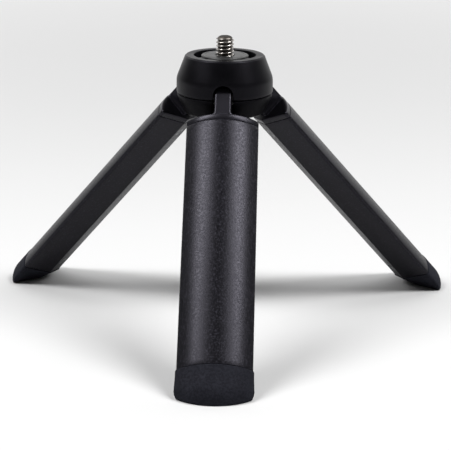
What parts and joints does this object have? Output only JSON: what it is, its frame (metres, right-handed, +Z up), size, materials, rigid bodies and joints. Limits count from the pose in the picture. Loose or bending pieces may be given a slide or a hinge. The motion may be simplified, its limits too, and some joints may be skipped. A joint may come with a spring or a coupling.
{
  "type": "folding table tripod",
  "caption": "Folding table tripod with a round hub, wedge-section legs that swing out on hinge pins, and a camera screw standing up from a central seat disc.",
  "frame": {"origin": "centre of the seat face, where the camera screw stands up from it", "axes": "+Z up along the camera screw, -Y towards the front leg, +X to the right seen from that leg"},
  "size_m": [0.165, 0.1471, 0.1027],
  "materials": {
    "black_shell": "black fine-grained moulding, satin on the rim",
    "lower_shell": "black moulding, slightly greyer and more matt",
    "seat": "satin black turned disc",
    "plated_steel": "bright nickel-plated thread",
    "zinc_screw": "zinc-plated, satin",
    "washer": "natural acetal, matt",
    "knuckle_paint": "satin black paint on a die casting",
    "leg_anodised": "black anodised, satin, fine lengthwise grain",
    "foot_moulding": "blue-black moulding, matt"
  },
  "bodies": {
    "head": {"head_upper_shell": "black_shell", "head_lower_shell": "lower_shell", "seat_disc": "seat", "camera_stud": "plated_steel", "case_screws": "zinc_screw", "front_hinge_pin": "zinc_screw", "front_friction_washers": "washer", "right_hinge_pin": "zinc_screw", "right_friction_washers": "washer", "left_hinge_pin": "zinc_screw", "left_friction_washers": "washer"},
    "front_leg": {"front_knuckle": "knuckle_paint", "front_leg_shell": "leg_anodised", "front_foot_cap": "foot_moulding", "front_knuckle_screw": "zinc_screw", "front_foot_screw": "zinc_screw"},
    "right_leg": {"right_knuckle": "knuckle_paint", "right_leg_shell": "leg_anodised", "right_foot_cap": "foot_moulding", "right_knuckle_screw": "zinc_screw", "right_foot_screw": "zinc_screw"},
    "left_leg": {"left_knuckle": "knuckle_paint", "left_leg_shell": "leg_anodised", "left_foot_cap": "foot_moulding", "left_knuckle_screw": "zinc_screw", "left_foot_screw": "zinc_screw"}
  },
  "joints": [
    {"name": "front_leg_fold", "type": "hinge", "parent": "head", "child": "front_leg", "pos_m": [0, -0.0118, -0.0126], "axis": [1, 0, 0], "range_deg": [0, 43]},
    {"name": "right_leg_fold", "type": "hinge", "parent": "head", "child": "right_leg", "pos_m": [0.01022, 0.0059, -0.0126], "axis": [-0.5, 0.866, 0], "range_deg": [0, 43]},
    {"name": "left_leg_fold", "type": "hinge", "parent": "head", "child": "left_leg", "pos_m": [-0.01022, 0.0059, -0.0126], "axis": [-0.5, -0.866, 0], "range_deg": [0, 43]}
  ]
}
